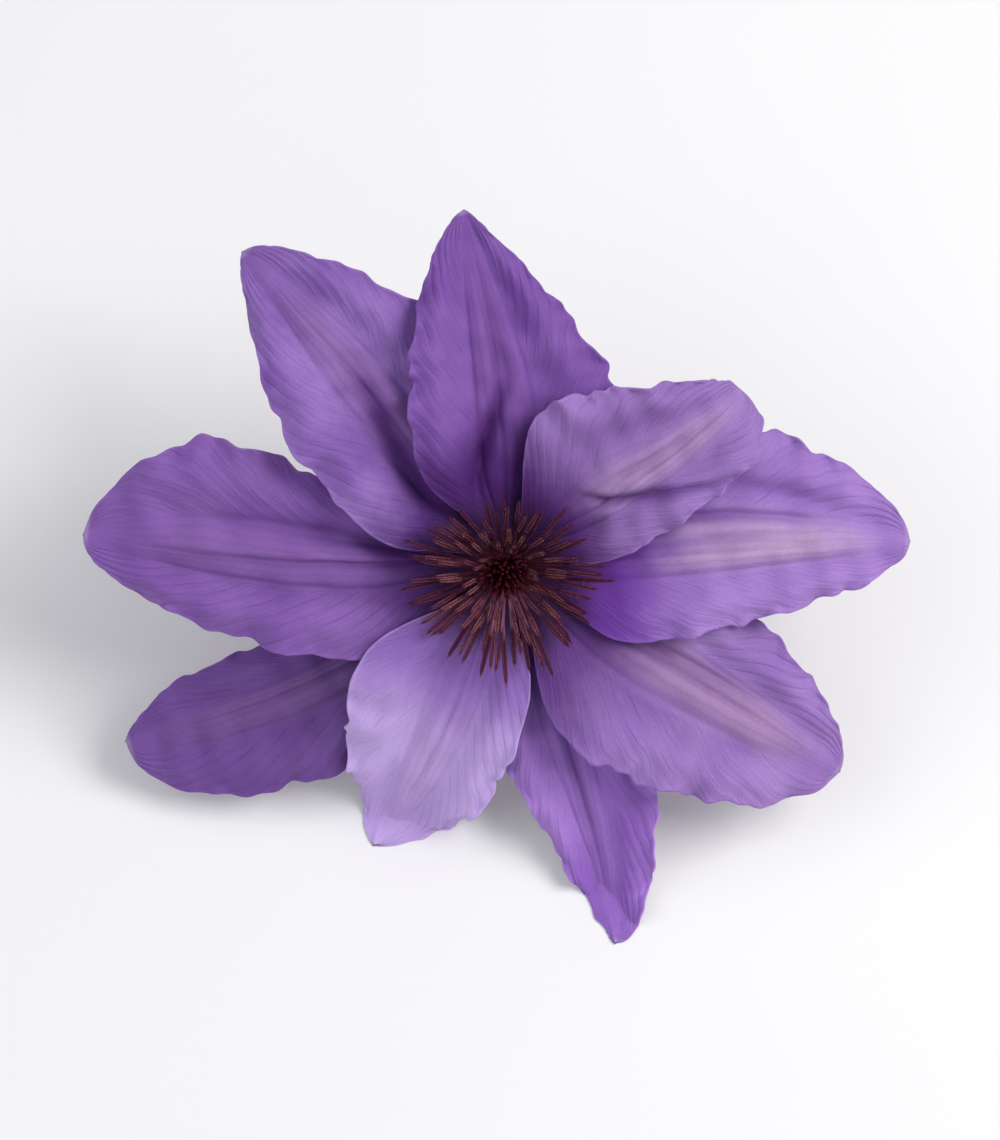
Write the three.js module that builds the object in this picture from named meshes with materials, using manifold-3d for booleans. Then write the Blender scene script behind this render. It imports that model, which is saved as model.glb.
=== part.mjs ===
// A single clematis bloom, as picked: nine overlapping tepals, a spreading boss of stamens round a
// tuft of styles, and a thin stalk. It lies face up, leaning on the tips of its two lowest tepals
// and on its stalk, which bends away beneath it and runs out along the surface.
// Millimetres, +Z up; z = 0 is the surface that it lies on.
import * as THREE from 'three';
import { mergeVertices } from 'three/addons/utils/BufferGeometryUtils.js';
import Module from 'manifold-3d';

const wasm = await Module();
wasm.setup();
const { Manifold, Mesh } = wasm;

// How the bloom lies
const TILT = 32;                // degrees between its face and the surface
const CENTRE_HEIGHT = 44;       // middle of the bloom above the surface
const GAP = 0.35;               // between pieces that touch on the real flower

// Tepals: every one is a thin blade on a narrow claw
const THICKNESS = 0.8;
const CLAW_RADIUS = 6;          // where the claws stand, from the middle of the bloom
const CLAW_HALF = 0.8;          // half the claw's width, over the half width of the tip
const TIP_HALF = 0.4;           // half the width of the small point at the tip
const TIP_START = 0.988;        // where the blade has run out into that point
const FIRST_SEAT = 128;         // degrees, anticlockwise from +X, of the first claw
const SEAT_STEP = -40;          // the others follow clockwise
const BEND_HUB = 0.3;           // share of the length at which a tepal points along its heading
const RIBS = 3;                 // ridges along the blade
const RIB_RUN = { rise: [0.05, 0.3], fall: [0.7, 1] };       // shares of the length
const WAVE_RUN = { rise: [0.22, 0.5], fall: [0.86, 1] };
const RIPPLE = 0.03;            // how far the edge goes in and out, as a share of the half width
const FOLD_ROUND = 0.1;         // how softly the face turns at the midrib, as a share of the half width
const COLUMNS = 12;
const ROWS = 18;
const ROW_CROWD = 0.5;          // how much closer the rows are at the tip, and further at the claw
const MIDRIB_STEPS = 216;       // the midrib is walked in finer steps than the rows

// Angles in degrees, lengths in mm. Pitch, twist and slope are given at even stations from claw to
// tip. Left and right are as seen from above with the tip pointing away: each side has its half
// width, the share of the length where it starts to narrow, the two powers of its taper (how late
// it narrows, and how pointed it ends), how fast it spreads from the claw, how its face slopes up
// (or down) towards the edge, and the height of its waves.
const TEPALS = [
  {
    heading: 127, bend: 12, length: 79, pitch: [16, 12, 2, -10, -18], twist: [0, 4, 0],
    left: { width: 19, full: 0.54, taper: [1.3, 0.84], spread: 1.2, slope: [0.40, 0.22, 0], wave: 1.0 },
    right: { width: 26, full: 0.26, taper: [1.3, 0.65], spread: 0.7, slope: [-0.20, -0.15, 0.10], wave: 1.4 },
    phase: 0.5, waves: 4.2, rib: 1.0,
  },
  {
    heading: 94, bend: 16, length: 69, pitch: [16, 12, 4, -8, -14], twist: [0, 0, 0],
    left: { width: 19, full: 0.22, taper: [2.4, 0.74], spread: 1.15, slope: [0.36, 0.40, 0.25], wave: 1.3 },
    right: { width: 31, full: 0.22, taper: [1.2, 1.0], spread: 1.2, slope: [-0.22, -0.04, 0.08], wave: 1.2 },
    phase: 1.3, waves: 4.6, rib: 1.0,
  },
  {
    heading: 34, bend: 14, length: 60, pitch: [22, 16, 6, -6, -80], twist: [0, 0, 0],
    left: { width: 29, full: 0.22, taper: [1.3, 0.95], spread: 1.3, slope: [0.36, 0.22, 0.05], wave: 1.4 },
    right: { width: 12, full: 0.70, taper: [2.8, 0.8], spread: 0.8, slope: [0.36, 0.26, 0.20], wave: 1.4 },
    phase: 2.1, waves: 4.4, rib: 0.8,
  },
  {
    heading: 5, bend: -8, length: 77, pitch: [12, 9, -1, -8, -14], twist: [0, 0, 0],
    left: { width: 34, full: 0.24, taper: [1.2, 0.58], spread: 0.9, slope: [-0.22, -0.10, -0.04], wave: 1.2 },
    right: { width: 19, full: 0.20, taper: [1.2, 0.50], spread: 1.2, slope: [0.32, 0.14, 0.08], wave: 1.4 },
    phase: 3.0, waves: 4.8, rib: 0.9,
  },
  {
    heading: -31, bend: -6, length: 76, pitch: [12, 6, -4, -12, -20], twist: [0, 0, 0],
    left: { width: 21, full: 0.20, taper: [1.8, 0.59], spread: 0.7, slope: [-0.25, -0.02, 0], wave: 1.5 },
    right: { width: 26, full: 0.20, taper: [1.9, 0.50], spread: 1.3, slope: [0.32, 0.14, 0.05], wave: 1.8 },
    phase: 0.9, waves: 4.5, rib: 0.9,
  },
  {
    heading: -72, bend: -14, length: 80, pitch: [4, -4, -12, -12, 14], twist: [0, 6, 15],
    left: { width: 19, full: 0.20, taper: [1.4, 0.50], spread: 0.6, slope: [-0.25, 0.10, 0.50], wave: 1.5 },
    right: { width: 18, full: 0.20, taper: [1.2, 1.0], spread: 0.6, slope: [-0.25, 0.10, 0.60], wave: 1.0 },
    phase: 4.0, waves: 5.0, rib: 0.8,
  },
  {
    heading: -111, bend: -12, length: 69.5, pitch: [17, 0, -27, -44, 5], twist: [0, 0, 0],
    left: { width: 15, full: 0.41, taper: [3.1, 0.78], spread: 0.95, slope: [0.34, 0.15, -0.05], wave: 1.5 },
    right: { width: 25, full: 0.20, taper: [1.2, 0.73], spread: 1.3, slope: [0.36, 0.32, 0.10], wave: 1.6 },
    phase: 5.2, waves: 3.6, rib: 0.8,
  },
  {
    heading: -149, bend: -24, length: 83, pitch: [1, -7, -12, -12, -13], twist: [0, 0, 0],
    left: { width: 21, full: 0.20, taper: [3.4, 0.50], spread: 0.7, slope: [-0.25, -0.14, -0.05], wave: 0.8 },
    right: { width: 11, full: 0.65, taper: [2.7, 0.9], spread: 0.4, slope: [-0.25, -0.05, 0], wave: 0.8 },
    phase: 0.2, waves: 4.0, rib: 0.8,
  },
  {
    heading: 178, bend: -8, length: 81, pitch: [12, 8, -2, -12, -18], twist: [0, 0, 0],
    left: { width: 22, full: 0.20, taper: [1.2, 0.52], spread: 1.05, slope: [0.28, 0.10, 0], wave: 1.2 },
    right: { width: 29, full: 0.62, taper: [1.2, 0.59], spread: 0.5, slope: [-0.22, 0, 0.05], wave: 1.4 },
    phase: 1.9, waves: 4.1, rib: 1.0,
  },
];

// Stamens: rings of them on one low collar, the outer ones leaning furthest
const STAMEN_RINGS = [
  { count: 20, root: 4.1, lean: 62, length: 22.5 },
  { count: 17, root: 3.4, lean: 47, length: 20.5 },
  { count: 13, root: 2.8, lean: 30, length: 17.5 },
];
const COLLAR = { inner: 2.1, outer: 4.9, height: 1.6 };
const FILAMENT_HALF = 0.42;
const ANTHER_HALF = 0.85;
const ANTHER_START = 0.58;      // share of the stamen's length
const STAMEN_FLATNESS = 0.6;    // thickness over width
const LEAN_SPREAD = 5;          // degrees
const LENGTH_SPREAD = 0.14;

// Styles: an upright tuft in the middle
const STYLE_COUNT = 22;
const STYLE_LENGTH = 13;
const STYLE_LEAN = 13;          // of the outermost, in degrees
const STYLE_HALF = 0.4;
const CUSHION = { radius: 1.7, height: 2.2, taper: 0.7 };

// Receptacle and stalk: one green piece. The receptacle is a disc that narrows into a neck.
const RECEPTACLE = { radius: CLAW_RADIUS - 1.5 * GAP, top: 0.9, rim: 0.7, bottom: -0.9, neck: -4 };
const STALK_HALF = 1.3;
const STALK_START = 30;         // how firmly it leaves straight behind the bloom
const STALK_REACH = 62;         // from below the middle of the bloom to where it meets the surface
const STALK_LAND = 30;          // how gently it comes down
const STALK_RUN = 12;           // length that lies on the surface
const STALK_SIDES = 8;
const STALK_STEPS = 30;

const COLOURS = {
  tepals: ['#8460ac', '#7c58a0', '#9477b2', '#a182bc', '#9478b4', '#8259a8', '#a68cc4', '#6f4c92', '#7c57a2'],
  stamens: '#4c2138',
  styles: '#2e0a18',
  stalk: '#4d5a35',
};

const radians = THREE.MathUtils.degToRad;
const fade = ([from, to], x) => THREE.MathUtils.smoothstep(x, from, to);
const between = (run, x) => fade(run.rise, x) * (1 - fade(run.fall, x));

// A smooth curve through values given at even stations, read at t from 0 to 1
function along(values) {
  const curve = new THREE.SplineCurve(values.map((value, i) => new THREE.Vector2(i, value)));
  return (t) => curve.getPoint(t).y;
}

// The same random numbers on every run
function seeded(seed) {
  let state = seed;
  return () => {
    state = (state + 0x6d2b79f5) | 0;
    let mixed = Math.imul(state ^ (state >>> 15), 1 | state);
    mixed = (mixed + Math.imul(mixed ^ (mixed >>> 7), 61 | mixed)) ^ mixed;
    return ((mixed ^ (mixed >>> 14)) >>> 0) / 2 ** 32;
  };
}

function solidOf(geometry) {
  const bare = geometry.clone();
  bare.deleteAttribute('normal');
  bare.deleteAttribute('uv');
  const merged = mergeVertices(bare, 1e-4);
  return new Manifold(new Mesh({
    numProp: 3,
    vertProperties: new Float32Array(merged.attributes.position.array),
    triVerts: new Uint32Array(merged.index.array),
  }));
}

function geometryOf(solid) {
  const mesh = solid.getMesh();
  const geometry = new THREE.BufferGeometry();
  geometry.setAttribute('position', new THREE.BufferAttribute(mesh.vertProperties, 3));
  geometry.setIndex(new THREE.BufferAttribute(mesh.triVerts, 1));
  geometry.computeVertexNormals();
  return geometry;
}

const fused = (geometries) => geometryOf(geometries.map(solidOf).reduce((all, one) => all.add(one)));

// ---- Tepals ----

// Half the blade's width on one side, at t along a tepal
function halfWidth(side, length, t) {
  const past = THREE.MathUtils.clamp((t / TIP_START - side.full) / (1 - side.full), 0, 1);
  const [late, pointed] = side.taper;
  const blade = (side.width - TIP_HALF) * (1 - past ** late) ** pointed + 1e-4;
  const claw = CLAW_HALF + side.spread * t * length;
  return TIP_HALF + blade * claw / (blade ** 4 + claw ** 4) ** 0.25;
}

// Where a row lies along a tepal, in whole steps of its midrib
function rowStep(row) {
  const share = row / ROWS;
  return Math.round(MIDRIB_STEPS * share * (1 + ROW_CROWD * (1 - share)));
}

// The midrib, as a frame at every step: where it is, which way is left, and which way is up
function midribOf(tepal, seat) {
  const pitchAt = along(tepal.pitch);
  const twistAt = along(tepal.twist);
  const place = new THREE.Vector3(Math.cos(radians(seat)), Math.sin(radians(seat)), 0)
    .multiplyScalar(CLAW_RADIUS);
  const frames = [];
  let before = null;
  for (let i = 0; i <= MIDRIB_STEPS; i += 1) {
    const t = i / MIDRIB_STEPS;
    const heading = radians(tepal.heading + tepal.bend * (t - BEND_HUB));
    const pitch = radians(pitchAt(t));
    const ahead = new THREE.Vector3(Math.cos(heading), Math.sin(heading), 0)
      .multiplyScalar(Math.cos(pitch))
      .setZ(Math.sin(pitch));
    if (before) place.addScaledVector(ahead.clone().add(before), tepal.length / MIDRIB_STEPS / 2);
    before = ahead;
    const left = new THREE.Vector3(-Math.sin(heading), Math.cos(heading), 0)
      .applyAxisAngle(ahead, radians(twistAt(t)));
    frames.push({ place: place.clone(), left, up: new THREE.Vector3().crossVectors(ahead, left) });
  }
  return frames;
}

// A point of the tepal's middle sheet. Across runs from -1 at the right edge to 1 at the left edge.
function sheetPoint(tepal, frames, step, across) {
  const side = across < 0 ? tepal.right : tepal.left;
  const frame = frames[step];
  const t = step / MIDRIB_STEPS;
  const out = Math.abs(across);
  const half = halfWidth(side, tepal.length, t);
  const phase = across < 0 ? tepal.phase * 1.7 + 2.1 : tepal.phase;
  const turns = 2 * Math.PI * tepal.waves * t;
  const free = between(WAVE_RUN, t);
  const ruffle = Math.sin(turns + phase) + 0.5 * Math.sin(1.73 * turns + 2.3 * phase + 1);
  const ribs = Math.cos(RIBS * Math.PI * across) * between(RIB_RUN, t);
  const slope = along(side.slope)(t) * (Math.hypot(out, FOLD_ROUND) - FOLD_ROUND);
  const height = half * slope + side.wave * free * out ** 3 * ruffle + tepal.rib * ribs;
  const ripple = 1 + RIPPLE * free * out * Math.sin(1.37 * turns + 1.3 * phase + 1);
  return frame.place.clone()
    .addScaledVector(frame.left, half * across * ripple)
    .addScaledVector(frame.up, height);
}

// Gives a sheet its thickness: the same triangles on both faces, joined round the edge
function thickened(sheet, thickness, lowest) {
  const middle = sheet.attributes.position;
  const normal = sheet.attributes.normal;
  const count = middle.count;
  const geometry = new THREE.BufferGeometry();
  const points = [];
  for (const face of [0.5, -0.5]) {
    for (let i = 0; i < count; i += 1) {
      const point = new THREE.Vector3().fromBufferAttribute(middle, i);
      point.addScaledVector(new THREE.Vector3().fromBufferAttribute(normal, i), face * thickness);
      points.push(lowest(point));
    }
  }
  geometry.setFromPoints(points);
  const faces = [];
  const top = sheet.index.array;
  for (let i = 0; i < top.length; i += 3) {
    faces.push(top[i], top[i + 1], top[i + 2]);
    faces.push(top[i + 2] + count, top[i + 1] + count, top[i] + count);
  }
  const edge = [];
  for (let i = 0; i < COLUMNS; i += 1) edge.push(i);
  for (let i = 0; i < ROWS; i += 1) edge.push(i * (COLUMNS + 1) + COLUMNS);
  for (let i = COLUMNS; i > 0; i -= 1) edge.push(ROWS * (COLUMNS + 1) + i);
  for (let i = ROWS; i > 0; i -= 1) edge.push(i * (COLUMNS + 1));
  edge.forEach((here, i) => {
    const next = edge[(i + 1) % edge.length];
    faces.push(here, next, next + count, here, next + count, here + count);
  });
  geometry.setIndex(faces);
  return geometry;
}

// Lifts a point of the tilted bloom that would be lower than a height above the surface
function keptAbove(height, head) {
  const toBloom = head.matrix.clone().invert();
  return (point) => {
    const placed = point.clone().applyMatrix4(head.matrix);
    if (placed.z >= height) return point;
    return placed.setZ(height).applyMatrix4(toBloom);
  };
}

function tepalGeometry(tepal, seat, head) {
  const sheet = new THREE.PlaneGeometry(2, 1, COLUMNS, ROWS);
  const frames = midribOf(tepal, seat);
  const pressed = keptAbove(THICKNESS / 2, head);
  const position = sheet.attributes.position;
  for (let i = 0; i < position.count; i += 1) {
    const step = rowStep(Math.round((position.getY(i) + 0.5) * ROWS));
    const point = pressed(sheetPoint(tepal, frames, step, -position.getX(i)));
    position.setXYZ(i, point.x, point.y, point.z);
  }
  sheet.computeVertexNormals();
  return thickened(sheet, THICKNESS, keptAbove(0, head));
}

// ---- Stamens and styles ----

// A thin strand along a curve that stays in one upright plane through the axis of the bloom
function strand(curve, azimuth, sections, flatness) {
  const sides = 4;
  const geometry = new THREE.CylinderGeometry(1, 1, 1, sides, sections.length - 1);
  const position = geometry.attributes.position;
  const sideways = new THREE.Vector3(-Math.sin(azimuth), Math.cos(azimuth), 0);
  for (let i = 0; i < position.count; i += 1) {
    const section = sections[Math.round((0.5 - position.getY(i)) * (sections.length - 1))];
    const upward = new THREE.Vector3().crossVectors(curve.getTangent(section.at), sideways);
    const point = curve.getPoint(section.at)
      .addScaledVector(sideways, position.getX(i) * section.half)
      .addScaledVector(upward, position.getZ(i) * section.half * flatness);
    position.setXYZ(i, point.x, point.y, point.z);
  }
  return geometry;
}

// From a root near the axis, outward at an azimuth, leaning by some degrees from upright
function strandCurve(root, rootHeight, azimuth, lean, length) {
  const outward = new THREE.Vector3(Math.cos(azimuth), Math.sin(azimuth), 0);
  const start = outward.clone().multiplyScalar(root).setZ(rootHeight);
  const aim = (degrees, reach) => start.clone()
    .addScaledVector(outward, Math.sin(radians(degrees)) * reach)
    .add(new THREE.Vector3(0, 0, Math.cos(radians(degrees)) * reach));
  return new THREE.QuadraticBezierCurve3(start, aim(lean * 0.7, length * 0.45), aim(lean, length));
}

function ringGeometry(inner, outer, bottom, top) {
  const profile = [[inner, bottom], [outer, bottom], [outer, top], [inner, top], [inner, bottom]];
  return new THREE.LatheGeometry(profile.map(([r, z]) => new THREE.Vector2(r, z)), 20).rotateX(Math.PI / 2);
}

function stamensGeometry() {
  const random = seeded(11);
  const floor = RECEPTACLE.top + GAP;
  const pieces = [ringGeometry(COLLAR.inner, COLLAR.outer, floor, floor + COLLAR.height)];
  const sections = [
    { at: 0, half: FILAMENT_HALF },
    { at: ANTHER_START - 0.06, half: FILAMENT_HALF },
    { at: ANTHER_START + 0.04, half: ANTHER_HALF },
    { at: 0.92, half: ANTHER_HALF * 0.9 },
    { at: 1, half: FILAMENT_HALF * 0.7 },
  ];
  STAMEN_RINGS.forEach((ring, r) => {
    for (let i = 0; i < ring.count; i += 1) {
      const azimuth = (2 * Math.PI * (i + 0.37 * r + 0.25 * random())) / ring.count;
      const lean = ring.lean - LEAN_SPREAD * random();
      const length = ring.length * (1 - LENGTH_SPREAD * random());
      const curve = strandCurve(ring.root, floor + COLLAR.height * 0.4, azimuth, lean, length);
      pieces.push(strand(curve, azimuth, sections, STAMEN_FLATNESS));
    }
  });
  return fused(pieces);
}

function stylesGeometry() {
  const random = seeded(23);
  const floor = RECEPTACLE.top + GAP;
  const crown = CUSHION.radius * CUSHION.taper;
  const cushion = new THREE.CylinderGeometry(crown, CUSHION.radius, CUSHION.height, 12);
  const pieces = [cushion.rotateX(Math.PI / 2).translate(0, 0, floor + CUSHION.height / 2)];
  const golden = Math.PI * (3 - Math.sqrt(5));
  const sections = [
    { at: 0, half: STYLE_HALF },
    { at: 0.7, half: STYLE_HALF * 0.9 },
    { at: 1, half: STYLE_HALF * 0.5 },
  ];
  for (let i = 0; i < STYLE_COUNT; i += 1) {
    const share = Math.sqrt((i + 0.5) / STYLE_COUNT);
    const length = STYLE_LENGTH * (1 - 0.22 * share - 0.1 * random());
    const rootHeight = floor + CUSHION.height * 0.45;
    const curve = strandCurve(share * crown, rootHeight, i * golden, STYLE_LEAN * share, length);
    pieces.push(strand(curve, i * golden, sections, 1));
  }
  return fused(pieces);
}

// ---- Receptacle and stalk ----

function stalkGeometry(head) {
  const { radius, top, rim, bottom, neck } = RECEPTACLE;
  const end = neck - 2 * STALK_HALF;
  const profile = [
    [0, top], [radius * 0.8, top], [radius, top - rim], [radius, bottom],
    [radius * 0.66, bottom - STALK_HALF], [STALK_HALF * 1.5, neck], [STALK_HALF, end], [0, end],
  ];
  const receptacle = new THREE.LatheGeometry(profile.reverse().map(([r, z]) => new THREE.Vector2(r, z)), 16)
    .rotateX(Math.PI / 2)
    .applyMatrix4(head.matrix);
  const behind = new THREE.Vector3(0, 0, -1).transformDirection(head.matrix);
  const start = new THREE.Vector3(0, 0, -2).applyMatrix4(head.matrix);
  const landing = new THREE.Vector3(0, STALK_REACH, STALK_HALF);
  const path = new THREE.CurvePath();
  path.add(new THREE.CubicBezierCurve3(
    start,
    start.clone().addScaledVector(behind, STALK_START),
    landing.clone().setY(STALK_REACH - STALK_LAND),
    landing,
  ));
  path.add(new THREE.LineCurve3(landing, landing.clone().setY(STALK_REACH + STALK_RUN)));
  const corner = STALK_HALF / Math.cos(Math.PI / STALK_SIDES);
  const section = new THREE.Shape(Array.from({ length: STALK_SIDES }, (_, i) => {
    const angle = (2 * Math.PI * (i + 0.5)) / STALK_SIDES;
    return new THREE.Vector2(Math.cos(angle) * corner, Math.sin(angle) * corner);
  }));
  const run = { steps: STALK_STEPS, extrudePath: path, bevelEnabled: false };
  const stalk = new THREE.ExtrudeGeometry(section, run);
  return fused([receptacle, stalk]);
}

// ---- The bloom ----

function named(name, geometry, colour, roughness) {
  const material = new THREE.MeshStandardMaterial({ color: colour, roughness, metalness: 0 });
  const mesh = new THREE.Mesh(geometry, material);
  mesh.name = name;
  return mesh;
}

const group = new THREE.Group();
const head = new THREE.Group();
head.rotation.x = radians(TILT);
head.position.z = CENTRE_HEIGHT;
head.updateMatrix();
group.add(head);

TEPALS.forEach((tepal, i) => {
  const geometry = tepalGeometry(tepal, FIRST_SEAT + i * SEAT_STEP, head);
  head.add(named(`tepal_${i + 1}`, geometry, COLOURS.tepals[i], 0.6));
});
head.add(named('stamens', stamensGeometry(), COLOURS.stamens, 0.7));
head.add(named('styles', stylesGeometry(), COLOURS.styles, 0.7));
group.add(named('flower_stalk', stalkGeometry(head), COLOURS.stalk, 0.6));

// The origin is on the surface, below the middle of the bloom's box
const box = new THREE.Box3().setFromObject(group, true);
const middle = box.getCenter(new THREE.Vector3());
group.position.set(-middle.x, -middle.y, 0);
group.updateMatrixWorld(true);

export default group;
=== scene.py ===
import math
import random

import bmesh
import bpy
import numpy as np
from mathutils import Matrix, Vector


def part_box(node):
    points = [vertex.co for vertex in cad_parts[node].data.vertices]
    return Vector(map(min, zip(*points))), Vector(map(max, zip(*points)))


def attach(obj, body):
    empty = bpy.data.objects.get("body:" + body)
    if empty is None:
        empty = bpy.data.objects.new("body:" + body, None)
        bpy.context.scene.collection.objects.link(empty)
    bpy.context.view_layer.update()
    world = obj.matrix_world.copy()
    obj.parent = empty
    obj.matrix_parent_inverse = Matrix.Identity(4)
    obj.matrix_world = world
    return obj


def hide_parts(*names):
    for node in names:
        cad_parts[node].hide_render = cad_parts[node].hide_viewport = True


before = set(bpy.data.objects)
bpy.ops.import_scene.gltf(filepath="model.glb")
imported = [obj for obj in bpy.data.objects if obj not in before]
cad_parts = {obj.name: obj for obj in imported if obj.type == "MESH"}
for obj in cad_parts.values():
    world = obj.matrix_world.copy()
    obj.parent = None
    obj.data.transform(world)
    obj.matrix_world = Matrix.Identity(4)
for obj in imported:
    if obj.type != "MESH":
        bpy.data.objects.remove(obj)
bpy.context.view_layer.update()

# ---- How the bloom lies ----
# The picked bloom lies face up, leaning back on its stalk. All of it but the stalk is made in the
# bloom's own frame, in millimetres: the middle of the claws at 0, +Z out of its face, +Y its top.
MM = 0.001
TILT = 32                   # degrees between the bloom's face and the surface
CENTRE_HEIGHT = 44
STALK_REACH = 62            # from below the middle of the bloom to where the stalk lands
STALK_RUN = 12              # the length of stalk that lies on the surface

stalk_low, stalk_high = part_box("flower_stalk")
centre_x = (stalk_low[0] + stalk_high[0]) / 2 / MM
centre_y = stalk_high[1] / MM - STALK_REACH - STALK_RUN
leaning = Matrix.Rotation(math.radians(TILT), 4, "X")
lie = Matrix.Translation((centre_x, centre_y, CENTRE_HEIGHT)) @ leaning

# ---- Receptacle and stalk ----
# The green end of the stem that the bloom grew on, cut from its plant. The receptacle is the firm
# knob that carries every part of the bloom. The stalk, fibrous and ribbed, with short pale hairs,
# bends away below it and lies along the surface, and its cut face shows the pith.
RECEPTACLE = [              # radius and height, in mm, from its top down into the stalk
    (0.0, 1.0), (2.6, 1.05), (4.6, 1.0), (5.8, 0.7), (6.7, 0.25), (6.9, -0.2), (6.5, -0.8), (5.4, -1.5),
    (3.9, -2.1), (2.9, -2.8), (2.2, -3.7), (1.7, -4.8), (1.4, -6.1), (1.2, -7.0), (0.0, -7.1),
]
STALK_HALF = 1.3
STALK_START = 30            # how firmly it leaves straight behind the bloom
STALK_LAND = 30             # how gently it comes down
STALK_RIBS = 6
RIB_HEIGHT = 0.035          # as a share of the stalk's radius
LOBES = 9                   # of the receptacle, one under each claw
LOBE_DEPTH = 0.012
STAIN_DEPTH = 1.2           # how far below its top the receptacle's wine stain runs out
RECEPTACLE_SIDES = 54
STALK_SIDES = 36
STALK_STEPS = 90
LYING_STEPS = 18
CUT_FACE = (1.0, 0.97, 0.80, 0.77, 0.42, 0.36, 0.0)    # radii on the cut end, as shares of the stalk
CUT_DISH = 0.25             # how deep the cut end is dished
CUT_EDGE = 0.9              # the pith's radius, as a share of the stalk's
STALK_HAIRS = 900
HAIR_LENGTH = (0.3, 0.65)
HAIR_HALF = 0.028
HAIR_ROOT = 0.9             # how deep the hairs are rooted, as a share of the stalk's radius


class Tint:
    """A value in a material. Arithmetic on it adds Math nodes, so that a pattern reads as a sum."""

    def __init__(self, tree, socket=None):
        self.tree = tree
        self.socket = socket

    def node(self, kind, settings=(), inputs=(), output=0):
        """Adds any other node: its settings first, then the values or links of its sockets."""
        added = self.tree.nodes.new(kind)
        for name, value in dict(settings).items():
            setattr(added, name, value)
        for name, value in dict(inputs).items():
            if isinstance(value, Tint):
                self.tree.links.new(value.socket, added.inputs[name])
            else:
                added.inputs[name].default_value = value
        return Tint(self.tree, added.outputs[output]) if len(added.outputs) else None

    def math(self, operation, *values):
        return self.node("ShaderNodeMath", {"operation": operation}, enumerate(values))

    def __add__(self, other):
        return self.math("ADD", self, other)

    def __radd__(self, other):
        return self.math("ADD", other, self)

    def __sub__(self, other):
        return self.math("SUBTRACT", self, other)

    def __rsub__(self, other):
        return self.math("SUBTRACT", other, self)

    def __mul__(self, other):
        return self.math("MULTIPLY", self, other)

    def __rmul__(self, other):
        return self.math("MULTIPLY", other, self)

    def __pow__(self, other):
        return self.math("POWER", self, other)

    def __abs__(self):
        return self.math("ABSOLUTE", self)

    def mark(self, name):
        """A value that the mesh carries at its own points."""
        return self.node("ShaderNodeAttribute", {"attribute_name": name}, output="Fac")

    def mottle(self, scale, detail):
        """Noise that is fixed to the piece. Scale is in spots per metre."""
        place = self.node("ShaderNodeTexCoord", output="Object")
        return self.node("ShaderNodeTexNoise", inputs={"Vector": place, "Scale": scale, "Detail": detail})

    def ways(self, name):
        """The two ways over a surface, from its UV map: round or across it, and along it."""
        sheet = self.node("ShaderNodeUVMap", {"uv_map": name})
        split = self.node("ShaderNodeSeparateXYZ", inputs={0: sheet})
        return split, Tint(self.tree, split.socket.node.outputs["Y"])

    def bump(self, height, distance, strength):
        """Turns a height into the fine relief of a surface. The distance is in metres."""
        relief = {"Height": height, "Distance": distance, "Strength": strength}
        return self.node("ShaderNodeBump", inputs=relief)

    def coat(self, inputs):
        """Ends a material with its shader, given the values and links of the shader's sockets."""
        skin = self.node("ShaderNodeBsdfPrincipled", inputs=inputs)
        self.node("ShaderNodeOutputMaterial", inputs={"Surface": skin})

    def sine(self):
        return self.math("SINE", self)

    def cosine(self):
        return self.math("COSINE", self)

    def fract(self):
        return self.math("FRACT", self)

    def rise(self, start, end):
        """0 before the start, 1 past the end, and smooth between them. It falls if the end is first."""
        low, high, first, last = (start, end, 0.0, 1.0) if start < end else (end, start, 1.0, 0.0)
        span = {0: self, 1: low, 2: high, 3: first, 4: last}
        return self.node("ShaderNodeMapRange", {"interpolation_type": "SMOOTHSTEP"}, span)

    def mix(self, first, second):
        """A colour between two others, with this value as the share of the second."""
        inks = {0: self, 6: first, 7: second}
        return self.node("ShaderNodeMix", {"data_type": "RGBA"}, inks, output=2)


def ink(code):
    """A colour code as the renderer's own numbers."""
    parts = [int(code[i:i + 2], 16) / 255 for i in (1, 3, 5)]
    return tuple(p / 12.92 if p <= 0.04045 else ((p + 0.055) / 1.055) ** 2.4 for p in parts) + (1.0,)


def new_material(name):
    material = bpy.data.materials.new(name)
    material.use_nodes = True
    material.node_tree.nodes.clear()
    return material, Tint(material.node_tree)


def finished(name, mesh, materials, slot, *nodes):
    """Makes a mesh the piece that stands for some of the CAD nodes."""
    piece = bpy.data.objects.new(name, mesh)
    bpy.context.scene.collection.objects.link(piece)
    mesh.shade_smooth()
    for material in materials:
        mesh.materials.append(material)
    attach(piece, "root")
    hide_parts(*nodes)
    return piece


def tube(shape, sides, places, wide, high, section=None):
    """Rolls a grid into a closed tube along a line of places, with its half widths given at each."""
    run = len(places) - 1
    made = bmesh.ops.create_grid(shape, x_segments=sides, y_segments=run, size=1.0, calc_uvs=True)
    grid = made["verts"]
    flat = np.array([vert.co for vert in grid])
    angle = np.pi * flat[:, :1]
    index = np.round((flat[:, 1] + 1) / 2 * run).astype(int)
    ring = wide[index] * np.cos(angle) + high[index] * np.sin(angle)
    if section:
        ring *= section(angle)
    for vert, point in zip(grid, places[index] + ring):
        vert.co = point
    bmesh.ops.remove_doubles(shape, verts=grid, dist=1e-4)


def hair(shape, layer, root, aim, half):
    """A fine cone of three sides that stands on its root. The layer marks it as a hair."""
    turn = aim.to_track_quat("Z", "Y").to_matrix().to_4x4()
    place = Matrix.Translation(root + aim / 2) @ turn
    ends = {"radius1": half, "radius2": 0.0, "depth": aim.length}
    cone = bmesh.ops.create_cone(shape, cap_ends=True, segments=3, matrix=place, **ends)
    for vert in cone["verts"]:
        vert[layer] = 1.0


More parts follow.
